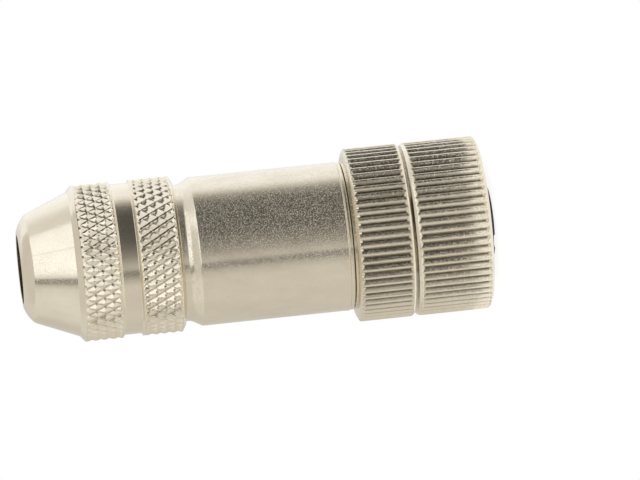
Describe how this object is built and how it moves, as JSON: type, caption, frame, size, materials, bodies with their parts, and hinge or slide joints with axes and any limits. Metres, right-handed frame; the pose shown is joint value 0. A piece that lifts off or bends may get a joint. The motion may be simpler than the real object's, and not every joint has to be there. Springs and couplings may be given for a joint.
{
  "type": "m12 connector",
  "caption": "Straight shielded female M12 circular connector for field wiring, with a screw-locking knurled nut and a cable gland.",
  "frame": {"origin": "centre of the mating face, where the connector stands on its contact insert", "axes": "+Z along the connector's axis from the mating face to the cable end, -Y through the insert's keyway"},
  "size_m": [0.02, 0.02, 0.0547],
  "materials": {
    "knurled_nickel": "nickel plated brass, knurled, satin with bright crests",
    "sleeve_nickel": "nickel plated brass, turned smooth, fine satin grain",
    "gland_nickel": "nickel plated brass, diamond knurled bands and a smooth satin cone",
    "shield_nickel": "nickel plated brass, turned",
    "washer_steel": "stamped, brushed",
    "spring_steel": "oiled spring steel",
    "screw_steel": "zinc plated, turned",
    "contact_gold": "gold plated, turned",
    "insert_plastic": "moulded, slate black, fine matt",
    "cage_plastic": "moulded, matt",
    "seal_rubber": "smooth sealing rubber",
    "bush_rubber": "soft moulded rubber"
  },
  "bodies": {
    "contact_head": {"head_ring": "knurled_nickel", "contact_carrier": "insert_plastic", "retaining_ring": "spring_steel", "face_seal": "seal_rubber", "body_o_ring": "seal_rubber", "socket_contact_1": "contact_gold", "socket_contact_2": "contact_gold", "socket_contact_3": "contact_gold", "socket_contact_4": "contact_gold"},
    "coupling_nut": {"coupling_nut": "knurled_nickel"},
    "cable_grip": {"shield_ring": "shield_nickel", "cable_seal": "bush_rubber", "clamp_cage": "cage_plastic"},
    "sleeve": {"sleeve": "sleeve_nickel"},
    "thrust_washer": {"thrust_washer": "washer_steel"},
    "pressure_nut": {"pressure_nut": "gland_nickel"},
    "terminal_screw_1": {"terminal_screw_1": "screw_steel"},
    "terminal_screw_2": {"terminal_screw_2": "screw_steel"},
    "terminal_screw_3": {"terminal_screw_3": "screw_steel"},
    "terminal_screw_4": {"terminal_screw_4": "screw_steel"}
  },
  "joints": [
    {"name": "coupling_nut_turn", "type": "hinge", "parent": "contact_head", "child": "coupling_nut", "pos_m": [0, 0, 0.005], "axis": [0, 0, 1], "continuous": true},
    {"name": "grip_travel", "type": "slide", "parent": "contact_head", "child": "cable_grip", "axis": [0, 0, 1], "range_m": [0, 0.004]},
    {"name": "sleeve_turn", "type": "hinge", "parent": "cable_grip", "child": "sleeve", "pos_m": [0, 0, 0.025], "axis": [0, 0, 1], "range_deg": [0, 1440]},
    {"name": "washer_travel", "type": "slide", "parent": "sleeve", "child": "thrust_washer", "axis": [0, 0, 1], "range_m": [0, 0.006]},
    {"name": "pressure_nut_turn", "type": "hinge", "parent": "thrust_washer", "child": "pressure_nut", "pos_m": [0, 0, 0.045], "axis": [0, 0, 1], "range_deg": [0, 2160]},
    {"name": "terminal_screw_1_travel", "type": "slide", "parent": "contact_head", "child": "terminal_screw_1", "axis": [0.7071, 0.7071, 0], "range_m": [0, 0.0008]},
    {"name": "terminal_screw_2_travel", "type": "slide", "parent": "contact_head", "child": "terminal_screw_2", "axis": [-0.7071, 0.7071, 0], "range_m": [0, 0.0008]},
    {"name": "terminal_screw_3_travel", "type": "slide", "parent": "contact_head", "child": "terminal_screw_3", "axis": [-0.7071, -0.7071, 0], "range_m": [0, 0.0008]},
    {"name": "terminal_screw_4_travel", "type": "slide", "parent": "contact_head", "child": "terminal_screw_4", "axis": [0.7071, -0.7071, 0], "range_m": [0, 0.0008]}
  ],
  "couplings": [
    {"joint": "grip_travel", "follows": "sleeve_turn", "m_per_rad": 0.00015915},
    {"joint": "washer_travel", "follows": "pressure_nut_turn", "m_per_rad": 0.00015915}
  ]
}
